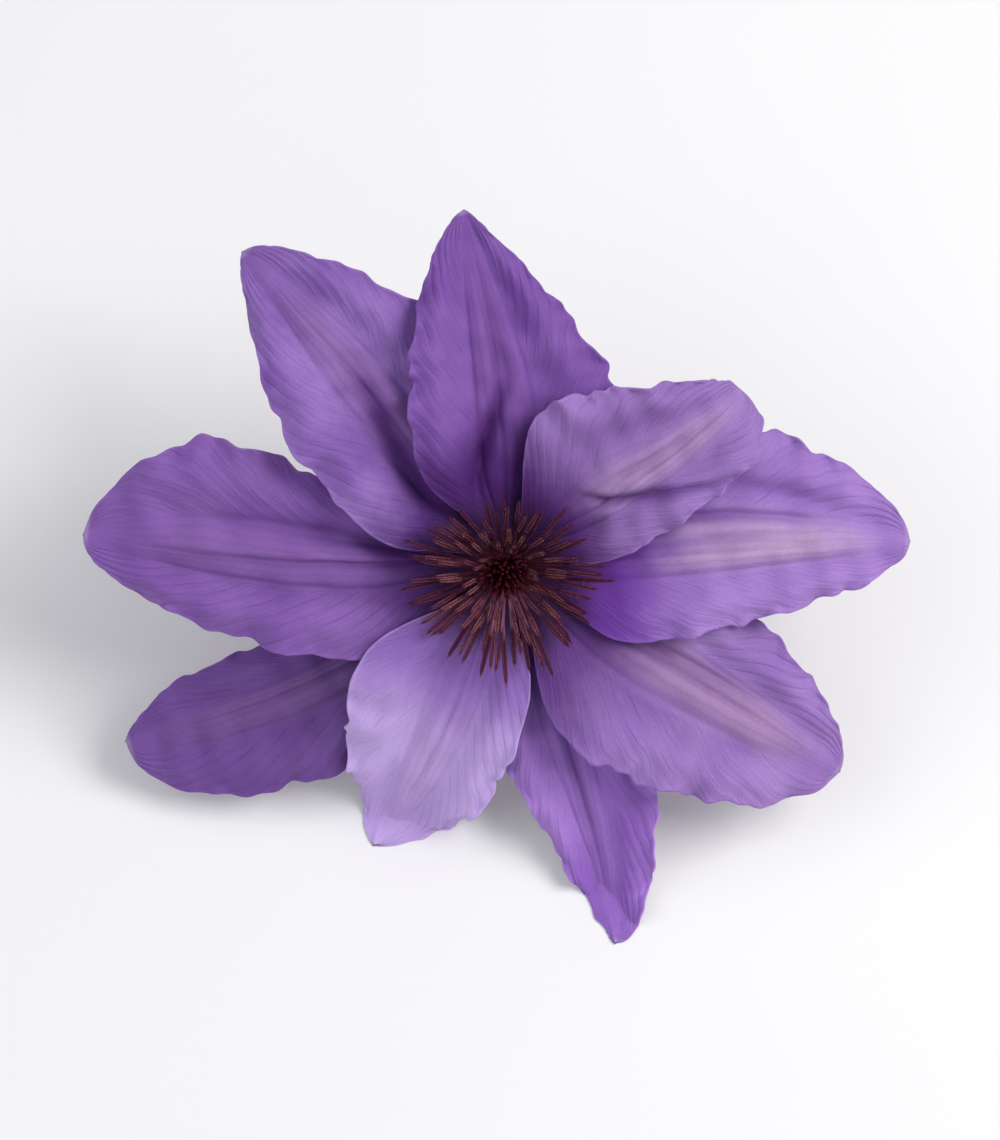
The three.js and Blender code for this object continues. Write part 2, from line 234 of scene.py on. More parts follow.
def pulled(marks, share):
    """Points on the smooth curve that some marks pull on, at shares of its run from 0 to 1."""
    marks = [np.asarray(mark, float) for mark in marks]
    while len(marks) > 1:
        marks = [mark + (after - mark) * share[:, None] for mark, after in zip(marks, marks[1:])]
    return marks[0]


def mesh_of(name, shape, place):
    """Turns every closed part of a shape outward, puts it in its place in metres, and makes the mesh."""
    bmesh.ops.recalc_face_normals(shape, faces=shape.faces)
    bmesh.ops.transform(shape, matrix=Matrix.Scale(MM, 4) @ place, verts=shape.verts)
    mesh = bpy.data.meshes.new(name)
    shape.to_mesh(mesh)
    shape.free()
    return mesh


def stem_skin():
    """Olive green, bronzed in patches and along its ribs, with a pale face where it is cut."""
    material, start = new_material("stem_skin")
    around, run = start.ways("run")
    is_cut = start.mark("cut")
    patches = start.mottle(130.0, 4.0)
    grain = start.mottle(1400.0, 4.0)
    streak = (around * 2 * math.pi * 26 + grain * 3.0 + run * 9.0).sine()
    rib = (around * 2 * math.pi * STALK_RIBS).cosine()
    colour = patches.rise(0.35, 0.65).mix(ink("#5d6740"), ink("#6f6a48"))
    colour = (patches.rise(0.52, 0.7) * 0.6).mix(colour, ink("#6e4f4b"))
    colour = (rib.rise(0.0, 1.0) * 0.3).mix(colour, ink("#7b7f55"))
    colour = (streak.rise(0.2, 1.0) * 0.22).mix(colour, ink("#3f4a2a"))
    colour = (grain.rise(0.6, 0.75) * 0.25).mix(colour, ink("#8d8f62"))
    pith = (is_cut * 9.0 + grain * 2.0).sine().rise(-1.0, 1.0).mix(ink("#c9cfa0"), ink("#a9b27c"))
    colour = is_cut.rise(0.0, 0.12).mix(colour, pith)
    colour = start.mark("stain").mix(colour, ink("#1e0a14"))
    colour = start.mark("hair").mix(colour, ink("#c9c7ad"))
    start.coat({
        "Base Color": colour,
        "Roughness": 0.48 + 0.2 * grain,
        "Normal": start.bump(rib * 0.2 + streak * 0.16 + grain * 0.5, 0.0002, 0.7),
        "Specular IOR Level": 0.25,
    })
    return material


def lobed(angle):
    return 1 - LOBE_DEPTH * np.cos(LOBES * angle)


def ribbed(angle):
    return 1 - RIB_HEIGHT + RIB_HEIGHT * np.cos(STALK_RIBS * angle)


def upright(profile):
    """Places up an axis, and the radius at each, from a profile of radii and heights."""
    profile = np.array(profile)
    return profile[:, 1:] * [0, 0, 1], profile[:, :1]


stem = bmesh.new()
stem.loops.layers.uv.new("run")
hair_layer = stem.verts.layers.float.new("hair")
cut_layer = stem.verts.layers.float.new("cut")
stain_layer = stem.verts.layers.float.new("stain")
axis, radius = upright(RECEPTACLE)
tube(stem, RECEPTACLE_SIDES, axis, radius * [1, 0, 0], radius * [0, 1, 0], lobed)
for vert in stem.verts:
    vert[stain_layer] = min(1.0, max(0.0, vert.co.z + STAIN_DEPTH))
bmesh.ops.transform(stem, matrix=lie, verts=stem.verts)

behind = lie.to_3x3() @ Vector((0, 0, -1))
leaving = lie @ Vector((0, 0, -2))
landing = Vector((centre_x, centre_y + STALK_REACH, STALK_HALF))
marks = leaving, leaving + behind * STALK_START, landing - Vector((0, STALK_LAND, 0)), landing
flown = pulled(marks, np.linspace(0, 1, STALK_STEPS))
lying = np.linspace(flown[-1], flown[-1] + np.array([0, STALK_RUN, 0]), LYING_STEPS)[1:]
places = np.vstack([flown, lying])
ahead = np.gradient(places, axis=0)
ahead /= np.linalg.norm(ahead, axis=1, keepdims=True)
sideways = np.tile([1.0, 0.0, 0.0], (len(places), 1))
upward = np.cross(sideways, ahead)
face = np.array(CUT_FACE)[:, None]
dished = CUT_DISH * (face - 1) * [0, 1, 0]
halves = np.vstack([[[0.0]], np.full((len(places) - 1, 1), STALK_HALF), STALK_HALF * face])
places = np.vstack([places, places[-1] + dished])
sideways = np.vstack([sideways, np.tile(sideways[-1], (len(face), 1))])
upward = np.vstack([upward, np.tile(upward[-1], (len(face), 1))])
tube(stem, STALK_SIDES, places, sideways * halves, upward * halves, ribbed)
end = landing.y + STALK_RUN
for vert in stem.verts:
    centred = math.hypot(vert.co.x - landing.x, vert.co.z - landing.z) / STALK_HALF
    if vert.co.y > end - 1.2 * CUT_DISH and centred < CUT_EDGE:
        vert[cut_layer] = 1 - centred
draw = random.Random(5)
for _ in range(STALK_HAIRS):
    spot = draw.randrange(4, len(flown) + len(lying) - 2)
    turn = draw.uniform(0, 2 * math.pi)
    out = Vector(sideways[spot] * math.cos(turn) + upward[spot] * math.sin(turn))
    along_stem = Vector(ahead[min(spot, len(ahead) - 1)])
    jitter = along_stem * draw.uniform(-0.5, 0.5)
    aim = (out + along_stem * draw.uniform(-0.5, 0.3)) * draw.uniform(*HAIR_LENGTH)
    root = Vector(places[spot]) + out * STALK_HALF * HAIR_ROOT + jitter
    if (root + aim).z > 0.05:
        hair(stem, hair_layer, root, aim, HAIR_HALF)
stem_mesh = mesh_of("stem", stem, Matrix.Identity(4))
finished("stem", stem_mesh, [stem_skin()], "stalk", "flower_stalk")

# ---- Tepals ----
# The nine showy blades of the bloom, which do a petal's work. Each is thin living tissue on a
# narrow claw seated round the receptacle, with sunken veins along its bar, a lilac skin above, a
# paler reverse, and a waved margin. The shapes follow the solids and add the fine relief.
BLADE_THICKNESS = 0.45
CLAW_RADIUS = 6.0
CLAW_HALF = 0.8
CLAW_FLARE = 1.6            # how much wider the claws are at their seats, where they meet
CLAW_RUN = 0.09
TIP_HALF = 0.4
TIP_START = 0.996           # where the blade has narrowed to its small point
TIP_POINT = (0.99, 1.0)     # and where the point narrows away
FIRST_SEAT = 128            # where the claws sit round the receptacle, in degrees
SEAT_STEP = -40
BEND_HUB = 0.3              # the share of a blade's length that it bends sideways about
RIBS = 3
RIPPLE = 0.03
RIB_RUN = {"rise": (0.05, 0.3), "fall": (0.7, 1.0)}
WAVE_RUN = {"rise": (0.22, 0.5), "fall": (0.86, 1.0)}
FOLD_ROUND = 0.1
COLUMNS = 96
ROWS = 176
ROW_CROWD = 0.5             # how much closer the rows are at the tip

# Angles in degrees and lengths in mm. Left and right are as seen from above, tip pointing away. A
# fold runs from one place to another, each a share of the length and one of the half width, and
# has a width and a depth.
# Each blade's skin colours are its own tone with painted light and shade: the better lit blades are painted
# paler and the shaded ones darker, and the dark base reaches further where the base lies in shade.
TEPALS = [
    dict(
        heading=127, bend=12, length=79, pitch=(16, 12, 2, -10, -18), twist=(0, 4, 0),
        left=dict(width=19, full=0.54, taper=(1.3, 0.84), spread=1.2, slope=(0.40, 0.22, 0), wave=1.0),
        right=dict(width=26, full=0.26, taper=(1.3, 0.65), spread=0.7, slope=(-0.2, -0.15, 0.1), wave=1.4),
        phase=0.5, waves=4.2, rib=1.0,
        folds=((0.14, 0.32, 0.60, -0.06, 2.8, 2.6), (0.30, 0.70, 0.72, 0.34, 3.6, -1.3),
               (0.13, 0.62, 0.24, 0.70, 3.6, -1.2), (0.5, -0.1, 0.85, -0.15, 2.0, 0.8),
               (0.10, -0.95, 0.34, -0.95, 6.0, 2.4)),
        skin=dict(body="#7d56a4", bar="#87629c", base="#421066", rim="#a684c8", reach=0.38),
    ),
    dict(
        heading=94, bend=16, length=69, pitch=(16, 12, 4, -8, -14), twist=(0, 0, 0),
        left=dict(width=19, full=0.22, taper=(2.4, 0.74), spread=1.15, slope=(0.36, 0.40, 0.25), wave=1.3),
        right=dict(width=31, full=0.22, taper=(1.2, 1.0), spread=1.2, slope=(-0.22, -0.04, 0.08), wave=1.2),
        phase=1.3, waves=4.6, rib=1.0,
        folds=((0.10, 0.56, 0.50, -0.10, 2.0, 2.4), (0.46, -0.08, 0.85, 0.0, 1.9, 1.6),
               (0.22, 0.80, 0.50, 0.60, 3.0, -1.2)),
        skin=dict(body="#754b9c", bar="#7c529a", base="#481868", rim="#8c63b2", reach=0.50),
    ),
    dict(
        heading=34, bend=14, length=60, pitch=(22, 16, 6, -6, -80), twist=(0, 0, 0),
        left=dict(width=29, full=0.22, taper=(1.3, 0.95), spread=1.3, slope=(0.36, 0.22, 0.05), wave=1.4),
        right=dict(width=12, full=0.70, taper=(2.8, 0.8), spread=0.8, slope=(0.36, 0.26, 0.20), wave=1.4),
        phase=2.1, waves=4.4, rib=0.8,
        folds=((0.28, 0.14, 0.74, -1.0, 1.5, 2.2), (0.40, 0.12, 0.85, 0.03, 1.0, 0.9),
               (0.35, 0.60, 0.80, 0.45, 4.0, 0.9), (0.30, -0.15, 0.70, -0.7, 3.0, -1.2)),
        skin=dict(body="#906cb0", bar="#ac8eb2", base="#4c186c", rim="#9d7cbf", reach=0.42),
    ),
    dict(
        heading=5, bend=-8, length=77, pitch=(12, 9, -1, -8, -14), twist=(0, 0, 0),
        left=dict(width=34, full=0.24, taper=(1.2, 0.58), spread=0.9, slope=(-0.22, -0.1, -0.04), wave=1.2),
        right=dict(width=19, full=0.20, taper=(1.2, 0.50), spread=1.2, slope=(0.32, 0.14, 0.08), wave=1.4),
        phase=3.0, waves=4.8, rib=0.9,
        folds=((0.30, 0.28, 0.76, 0.24, 1.2, 1.4), (0.24, 0.06, 0.68, 0.10, 1.2, 1.1),
               (0.45, 0.56, 0.85, 0.42, 2.4, 1.2)),
        skin=dict(body="#a37fc5", bar="#bba0b6", base="#622496", rim="#8660ac", reach=0.50),
    ),
    dict(
        heading=-31, bend=-6, length=76, pitch=(12, 6, -4, -12, -20), twist=(0, 0, 0),
        left=dict(width=21, full=0.20, taper=(1.8, 0.59), spread=0.7, slope=(-0.25, -0.02, 0), wave=1.5),
        right=dict(width=26, full=0.20, taper=(1.9, 0.50), spread=1.3, slope=(0.32, 0.14, 0.05), wave=1.8),
        phase=0.9, waves=4.5, rib=0.9,
        folds=((0.12, 0.04, 0.80, 0.10, 2.8, 1.3), (0.30, -0.45, 0.75, -0.5, 4.0, 0.8),
               (0.10, 0.46, 0.36, 0.62, 2.0, 1.4), (0.24, 0.88, 0.62, 0.92, 4.5, 1.7),
               (0.28, 0.14, 0.68, 0.18, 1.1, 1.2)),
        skin=dict(body="#9d7bbc", bar="#a888a6", base="#542676", rim="#855cae", reach=0.48),
    ),
    dict(
        heading=-72, bend=-14, length=80, pitch=(4, -4, -12, -12, 14), twist=(0, 6, 15),
        left=dict(width=19, full=0.20, taper=(1.4, 0.50), spread=0.6, slope=(-0.25, 0.10, 0.50), wave=1.5),
        right=dict(width=18, full=0.20, taper=(1.2, 1.0), spread=0.6, slope=(-0.25, 0.10, 0.60), wave=1.0),
        phase=4.0, waves=5.0, rib=0.8,
        folds=((0.25, 0.0, 0.92, 0.0, 1.8, 1.4), (0.36, 0.62, 0.80, 0.80, 2.2, 1.1)),
        skin=dict(body="#9062bc", bar="#9e76c2", base="#451a6c", rim="#ba92de", reach=0.42),
    ),
    dict(
        heading=-111, bend=-12, length=69.5, pitch=(17, 0, -27, -44, 5), twist=(0, 0, 0),
        left=dict(width=15, full=0.41, taper=(3.1, 0.78), spread=0.95, slope=(0.34, 0.15, -0.05), wave=1.5),
        right=dict(width=25, full=0.20, taper=(1.2, 0.73), spread=1.3, slope=(0.36, 0.32, 0.10), wave=1.6),
        phase=5.2, waves=3.6, rib=0.8,
        folds=((0.10, -0.14, 0.50, -0.2, 1.3, 0.8), (0.10, 0.14, 0.55, 0.18, 1.3, 0.8),
               (0.12, -0.42, 0.40, -0.55, 3.0, -1.0), (0.14, -0.85, 0.38, -0.9, 4.0, 0.9)),
        skin=dict(body="#c0a4e0", bar="#b89cce", base="#8058aa", rim="#c8b0e6", reach=0.55),
    ),
    dict(
        heading=-149, bend=-24, length=83, pitch=(1, -7, -12, -12, -13), twist=(0, 0, 0),
        left=dict(width=21, full=0.2, taper=(3.4, 0.5), spread=0.7, slope=(-0.25, -0.14, -0.05), wave=0.8),
        right=dict(width=11, full=0.65, taper=(2.7, 0.9), spread=0.4, slope=(-0.25, -0.05, 0), wave=0.8),
        phase=0.2, waves=4.0, rib=0.8,
        folds=((0.25, 0.0, 0.90, 0.02, 1.8, 0.8),),
        skin=dict(body="#6b4690", bar="#7c5a90", base="#3d1d5c", rim="#825ca8", reach=0.40),
    ),
    dict(
        heading=178, bend=-8, length=81, pitch=(12, 8, -2, -12, -18), twist=(0, 0, 0),
        left=dict(width=22, full=0.20, taper=(1.2, 0.52), spread=1.05, slope=(0.28, 0.10, 0), wave=1.2),
        right=dict(width=29, full=0.62, taper=(1.2, 0.59), spread=0.5, slope=(-0.22, 0, 0.05), wave=1.4),
        phase=1.9, waves=4.1, rib=1.0,
        folds=((0.10, 0.02, 0.78, 0.06, 1.4, 0.9), (0.12, 0.36, 0.62, 0.36, 1.5, 0.7),
               (0.10, -0.10, 0.34, -0.42, 1.6, 1.3), (0.30, -0.40, 0.72, -0.30, 1.4, 0.9)),
        skin=dict(body="#7c53a2", bar="#835b9e", base="#471c68", rim="#9069b0", reach=0.38),
    ),
]


def laid(points, lowest):
    """Points of the bloom's own frame, where they lie in the scene. None is below the lowest height."""
    turn = np.array(lie)
    placed = np.asarray(points) @ turn[:3, :3].T + turn[:3, 3]
    placed[:, 2] = np.maximum(placed[:, 2], lowest)
    return placed * MM


def along(values, t):
    """A smooth curve through values given at even stations, read at t from 0 to 1."""
    known = np.asarray(values, float)
    last = len(known) - 1
    place = np.asarray(t, float) * last
    index = np.minimum(np.floor(place).astype(int), last - 1)
    part = place - index
    before, here = known[np.maximum(index - 1, 0)], known[index]
    after, beyond = known[index + 1], known[np.minimum(index + 2, last)]
    leave, reach = (after - before) / 2, (beyond - here) / 2
    cubic = 2 * here - 2 * after + leave + reach
    square = -3 * here + 3 * after - 2 * leave - reach
    return ((cubic * part + square) * part + leave) * part + here


def fade(span, x):
    """Rises smoothly from 0 to 1 as x crosses the span."""
    share = np.clip((x - span[0]) / (span[1] - span[0]), 0, 1)
    return share * share * (3 - 2 * share)


def between(run, x):
    return fade(run["rise"], x) * (1 - fade(run["fall"], x))


def read_at(where, share, parts):
    """Rows of points or ways that are known at some shares of a line, read at others."""
    return np.stack([np.interp(where, share, part) for part in parts.T], 1)


def half_width(side, length, t):
    """The blade's width on one side of its midrib."""
    past = np.clip((t / TIP_START - side["full"]) / (1 - side["full"]), 0, 1)
    late, pointed = side["taper"]
    blade = (side["width"] - TIP_HALF) * (1 - past**late) ** pointed + 1e-4
    claw = CLAW_HALF + side["spread"] * t * length + CLAW_FLARE * (1 - fade((0, CLAW_RUN), t))
    point = TIP_HALF * (1 - 0.9 * fade(TIP_POINT, t))
    return point + blade * claw / (blade**4 + claw**4) ** 0.25


def midrib(tepal, seat):
    """Places along the midrib, with the way to the left and the way up at each, in fine even steps."""
    steps = 2 * ROWS
    t = np.linspace(0, 1, steps + 1)
    heading = np.radians(tepal["heading"] + tepal["bend"] * (t - BEND_HUB))
    pitch = np.radians(along(tepal["pitch"], t))
    twist = np.radians(along(tepal["twist"], t))[:, None]
    ahead = np.stack([np.cos(pitch) * np.cos(heading), np.cos(pitch) * np.sin(heading), np.sin(pitch)], 1)
    strides = (ahead[1:] + ahead[:-1]) * tepal["length"] / steps / 2
    start = CLAW_RADIUS * np.array([math.cos(math.radians(seat)), math.sin(math.radians(seat)), 0])
    places = start + np.vstack([np.zeros(3), np.cumsum(strides, 0)])
    level = np.stack([-np.sin(heading), np.cos(heading), np.zeros_like(heading)], 1)
    left = level * np.cos(twist) + np.cross(ahead, level) * np.sin(twist)
    return places, left, np.cross(ahead, left)


FURROWS = (-0.27, 0.0, 0.27)                   # shares of the half width, over the three main veins
FURROW_WIDTH = 0.04
FURROW_DEPTH = 0.32
FURROW_RUN = {"rise": (0.02, 0.15), "fall": (0.55, 0.97)}
VEIN_PAIRS = 15                                # side veins, which sweep from the bar to the margin
VEIN_SWEEP = 7.5
QUILT = 0.11                                   # how far the skin swells between them
CRINKLE = 0.13
CRINKLES = 7
CRINKLE_WAVE = (6, 15)
NOTCH = 0.022                                  # how far the margin's notches reach in
MARGIN_CURL = 0.55
DEEP_FOLD = 2.4             # the depth at which the painted shade in a fold's skin is darkest


def fine_relief(tepal, t, across, half, draw):
    """What the coarse solid leaves out: folds, sunken veins, swollen skin and a frilled margin, with the
    painted shade that each fold's skin gets.
    """
    out = np.abs(across)
    open_blade = between(WAVE_RUN, t)
    relief = np.zeros_like(t)
    for furrow in FURROWS:
        depth = FURROW_DEPTH * (1.5 if furrow == 0 else 1.0)
        relief -= depth * np.exp(-(((across - furrow) / FURROW_WIDTH) ** 2))
    relief *= between(FURROW_RUN, t)
    fold_pigment_and_shade = np.zeros_like(t)
    for start, from_side, end, to_side, wide, deep in tepal["folds"]:
        share = np.clip((t - start) / (end - start), 0, 1)
        beside = (across - from_side - (to_side - from_side) * share) * half
        run = {"rise": (start - 0.08, start + 0.1), "fall": (end - 0.15, end + 0.12)}
        fold = np.exp(-((beside / wide) ** 2)) * between(run, t)
        relief -= deep * fold
        # Painted shade in a fold's skin, darker the deeper the fold
        fold_pigment_and_shade = np.maximum(fold_pigment_and_shade, fold * min(1.0, max(0.0, deep) / DEEP_FOLD))
    quilts = np.sin(2 * np.pi * (VEIN_PAIRS * t - VEIN_SWEEP * out**0.8) + np.sign(across))
    relief += QUILT * quilts * fade((0.3, 0.5), out) * fade((0.08, 0.3), t)
    for _ in range(CRINKLES):
        wave = draw.uniform(*CRINKLE_WAVE)
        turn = draw.uniform(0, math.pi)
        phase = draw.uniform(0, 2 * math.pi)
        ways = math.cos(turn) * t * tepal["length"] + math.sin(turn) * across * half
        relief += CRINKLE * np.sin(2 * np.pi * ways / wave + phase) * fade((0.05, 0.35), t)
    turns = 2 * np.pi * tepal["waves"] * t
    frill = np.sin(2.7 * turns + 5 * tepal["phase"] + 2 * np.sign(across))
    frill *= 0.65 + 0.35 * np.sin(0.9 * turns + 4 * tepal["phase"] + np.sign(across))
    frill += 0.3 * np.sin(4.9 * turns + 3 * tepal["phase"])
    return relief + MARGIN_CURL * frill * open_blade * fade((0.72, 1.0), out) ** 2, fold_pigment_and_shade


def blade_points(tepal, seat, t, across, draw):
    """The middle sheet of a blade and the painted shade in its folds. Across runs from -1, right, to 1,
    left.
    """
    steps = np.linspace(0, 1, 2 * ROWS + 1)
    places, left, up = (read_at(t, steps, parts) for parts in midrib(tepal, seat))
    out = np.abs(across)
    on_left = across >= 0
    sides = tepal["left"], tepal["right"]
    half = np.where(on_left, *(half_width(side, tepal["length"], t) for side in sides))
    slope = np.where(on_left, *(along(side["slope"], t) for side in sides))
    wave = np.where(on_left, *(side["wave"] for side in sides))
    phase = np.where(on_left, tepal["phase"], tepal["phase"] * 1.7 + 2.1)
    turns = 2 * np.pi * tepal["waves"] * t
    free = between(WAVE_RUN, t)
    ruffle = np.sin(turns + phase) + 0.5 * np.sin(1.73 * turns + 2.3 * phase + 1)
    height = half * slope * (np.hypot(out, FOLD_ROUND) - FOLD_ROUND)
    height += wave * free * out**3 * ruffle
    height += tepal["rib"] * np.cos(RIBS * np.pi * across) * between(RIB_RUN, t)
    relief, fold_pigment_and_shade = fine_relief(tepal, t, across, half, draw)
    height += relief
    ripple = RIPPLE * np.sin(1.37 * turns + 1.3 * phase + 1)
    notches = np.sin(3.3 * turns + 4.1 * phase) * (0.6 + 0.4 * np.sin(0.8 * turns + phase))
    ripple += NOTCH * out**3 * notches
    ripple = 1 + free * out * ripple
    sideways = (half * across * ripple)[:, None]
    return places + left * sideways + up * height[:, None], fold_pigment_and_shade


NET_SIZE = 1500.0           # meshes of the finest veins per metre
FUR = 0.09
CLAW_PIGMENT_AND_SHADE = "#280a38"         # at the claws: their own deep violet with the painted shade under the stamens
PALE_TIP = "#c4aeda"


def side_veins(t, out, cloud, inner):
    """Sweeps that count the side veins, and the veins themselves, from the bar out to the margin."""
    sweep = t * VEIN_PAIRS - out**0.8 * VEIN_SWEEP + (cloud - 0.5) * 1.1
    return sweep, abs(sweep.fract() - 0.5).rise(0.12, 0.0) * out.rise(inner, 0.42)


def tepal_skin(name, body, bar, base, rim, reach):
    """The upper skin: a pale bar with sunken veins, side veins, a fine net, a dark base that is partly its
    own deep violet and partly painted shade, and painted shade in its folds.
    """
    material, start = new_material(name)
    sideways, t = start.ways("blade")
    cloud = start.mottle(60.0, 3.0)
    grain = start.mottle(420.0, 4.0)
    across = sideways * 2.0 - 1.0 + (cloud - 0.5) * 0.05
    out = abs(across)
    fold_pigment_and_shade = start.mark("fold_pigment_and_shade")
    bar_mask = (out + (cloud - 0.5) * 0.2).rise(0.40, 0.06) * t.rise(0.14, 0.42) * t.rise(1.0, 0.70)
    lines = [abs(across - furrow).rise(0.05, 0.0) * (1.0 if furrow == 0 else 0.6) for furrow in FURROWS]
    furrows = sum(lines) * t.rise(0.85, 0.35) * cloud.rise(0.3, 0.6)
    threads = (across * 74.0 + grain * 2.4 + cloud * 5.0).sine().rise(0.0, 1.0)

    sweep, vein = side_veins(t, out, cloud, 0.24)
    sprig = sweep * 2.7 + grain * 0.8 + out * 3.0
    sprigs = abs(sprig.fract() - 0.5).rise(0.18, 0.0) * out.rise(0.2, 0.4)
    place = start.node("ShaderNodeTexCoord", output="Object")
    cells = {"Vector": place, "Scale": NET_SIZE}
    net = start.node("ShaderNodeTexVoronoi", {"feature": "DISTANCE_TO_EDGE"}, cells).rise(0.12, 0.0)

    colour = (cloud.rise(0.3, 0.7) * 0.5).mix(ink(body), ink(rim))
    colour = (bar_mask * (0.62 + 0.6 * (grain - 0.5))).mix(colour, ink(bar))
    colour = (threads * out.rise(0.6, 0.1) * 0.10).mix(colour, ink(base))
    colour = (furrows * 0.30).mix(colour, ink(base))
    colour = (vein * 0.08 * t.rise(1.0, 0.3)).mix(colour, ink(base))
    colour = (sprigs * 0.07).mix(colour, ink(base))
    colour = (net * 0.08).mix(colour, ink(base))
    edge = t + (cloud - 0.5) * 0.08 + (grain - 0.5) * 0.05 + out * 0.04
    # Painted shade at the base: the base's own deep violet, carried further out, as far as reach, where the
    # base lies in shade
    colour = (edge.rise(reach, reach * 0.4) * 0.9).mix(colour, ink(base))
    # Near-black at the claws: their own deep colour and the painted shade under the stamens
    colour = (edge.rise(0.21, 0.08) * 0.85).mix(colour, ink(CLAW_PIGMENT_AND_SHADE))
    # Painted shade in the deeper folds, partly their own deeper violet; where a fold lies under another
    # blade's edge it is that edge's painted shadow
    colour = (fold_pigment_and_shade * 0.8 * t.rise(0.95, 0.4)).mix(colour, ink(base))
    colour = (out.rise(0.965, 1.0) * 0.35).mix(colour, ink(rim))
    colour = (t.rise(0.98, 0.995) * 0.4).mix(colour, ink(PALE_TIP))

    height = grain * 0.25 + threads * bar_mask * 0.12 - furrows * 0.5
    height = height - vein * 0.28 - sprigs * 0.14 - net * 0.10
    start.coat({
        "Base Color": colour,
        "Roughness": 0.50 + 0.16 * grain + 0.08 * vein,
        "Normal": start.bump(height, 0.00035, 0.8),
        "Specular IOR Level": 0.22,
        "Subsurface Weight": 0.22,
        "Subsurface Radius": (1.0, 0.55, 0.9),
        "Subsurface Scale": 0.0009,
        "Sheen Weight": FUR,
        "Sheen Roughness": 0.45,
        "Sheen Tint": ink("#d9c8ee"),
    })
    return material


def tepal_reverse():
    """The underside: paler and greyer, with a cream-green bar and raised veins."""
    material, start = new_material("tepal_reverse")
    sideways, t = start.ways("blade")
    cloud = start.mottle(70.0, 3.0)
    grain = start.mottle(500.0, 4.0)
    across = sideways * 2.0 - 1.0 + (cloud - 0.5) * 0.05
    out = abs(across)
    bar_mask = out.rise(0.40, 0.14) * t.rise(1.0, 0.6)
    ridges = sum(abs(across - furrow).rise(0.04, 0.0) for furrow in FURROWS)
    vein = side_veins(t, out, cloud, 0.28)[1]
    colour = cloud.rise(0.3, 0.7).mix(ink("#a88fc2"), ink("#b7a3c6"))
    colour = (bar_mask * 0.7).mix(colour, ink("#b3ad9c"))
    colour = (ridges * bar_mask * 0.5).mix(colour, ink("#99a07e"))
    colour = (vein * 0.25).mix(colour, ink("#8768a6"))
    colour = (t.rise(0.2, 0.0) * 0.6).mix(colour, ink("#8b9170"))
    start.coat({
        "Base Color": colour,
        "Roughness": 0.58 + 0.14 * grain,
        "Normal": start.bump(grain * 0.3 + ridges * 0.8 + vein * 0.5, 0.0004, 0.8),
        "Specular IOR Level": 0.3,
        "Subsurface Weight": 0.22,
        "Subsurface Radius": (1.0, 0.6, 0.9),
        "Subsurface Scale": 0.0009,
        "Sheen Weight": FUR,
        "Sheen Roughness": 0.5,
    })
    return material


reverse = tepal_reverse()
for number, tepal in enumerate(TEPALS, 1):
    draw = random.Random(number)
    sheet = bmesh.new()
    bmesh.ops.create_grid(sheet, x_segments=COLUMNS, y_segments=ROWS, size=1.0)
    flat = np.array([vert.co for vert in sheet.verts])
    across, row = -flat[:, 0], (flat[:, 1] + 1) / 2
    t = row * (1 + ROW_CROWD * (1 - row))
    seat = FIRST_SEAT + (number - 1) * SEAT_STEP
    points, fold_pigment_and_shade = blade_points(tepal, seat, t, across, draw)
    for vert, point in zip(sheet.verts, laid(points, BLADE_THICKNESS / 2)):
        vert.co = point
    mesh = bpy.data.meshes.new(f"tepal_{number}_skin")
    sheet.to_mesh(mesh)
    sheet.free()
    corners = np.empty(len(mesh.loops), dtype=np.int32)
    mesh.loops.foreach_get("vertex_index", corners)
    unwrapped = np.stack([across / 2 + 0.5, t], 1)[corners]
    mesh.uv_layers.new(name="blade").data.foreach_set("uv", unwrapped.ravel())
    mesh.attributes.new("fold_pigment_and_shade", "FLOAT", "POINT").data.foreach_set("value", fold_pigment_and_shade)
    skin = tepal_skin(f"tepal_{number}_face", **tepal["skin"])
    piece = finished(f"tepal_{number}_skin", mesh, (skin, reverse), "tepals", f"tepal_{number}")
    body = piece.modifiers.new("thickness", "SOLIDIFY")
    body.thickness = BLADE_THICKNESS * MM
    body.offset = 0.0
    body.material_offset = 1

# ---- Stamens ----
# Four rings of stamens on the low collar round the styles. Each is a flat pinkish strap, the
# filament, that runs on between two slim dark sacs of pollen, which have split down their faces.
# The inner rings are riper, and those at the top of the bloom stand more upright.
STAMEN_RINGS = [
    dict(count=34, root=4.1, lean=64, length=21.6, ripe=0.15),
    dict(count=30, root=3.5, lean=55, length=21.2, ripe=0.35),
    dict(count=26, root=2.9, lean=43, length=19.0, ripe=0.70),
    dict(count=18, root=2.4, lean=29, length=16.0, ripe=0.55),
]
COLLAR = [                  # radius and height, from its foot up
    (0.0, 1.1), (4.95, 1.1), (5.05, 1.7), (4.9, 2.4),
    (4.3, 2.95), (3.2, 3.25), (1.9, 3.4), (0.0, 3.45),
]
STAMEN_FOOT = 1.9           # height of their roots
SAC_RUN = (0.57, 0.965)     # the part of a stamen that carries its sacs
SAC_HALF = 0.27
SAC_NARROW = 0.82           # its width over its depth
SAC_SIDES = 12
SAC_APART = 0.27
STRAP_HALF = 0.30
STRAP_THICK = 0.13
STRAP_SIDES = 8
STRAP_SHAPE = (             # its width at shares of its length
    (0, 0.1, 0.45, 0.56, 0.62, 0.94, 0.985),
    (1.0, 0.8, 1.0, 1.25, 0.7, 0.62, 0.5),
)
SLIT_DEPTH = 0.30           # of the slit in a sac's face, as a share of the sac's half width
SLIT_SPAN = 0.42            # in radians round the sac
GRAINS_PER_SAC = 7
GRAIN_SIZE = (0.05, 0.10)
COLLAR_SIDES = 40
SCARS = 20                  # shallow grooves round the collar
SCAR_DEPTH = 0.02
RING_TURN = 0.37            # how far each ring is turned on from the last, as a share of its spacing
RING_JITTER = 0.35
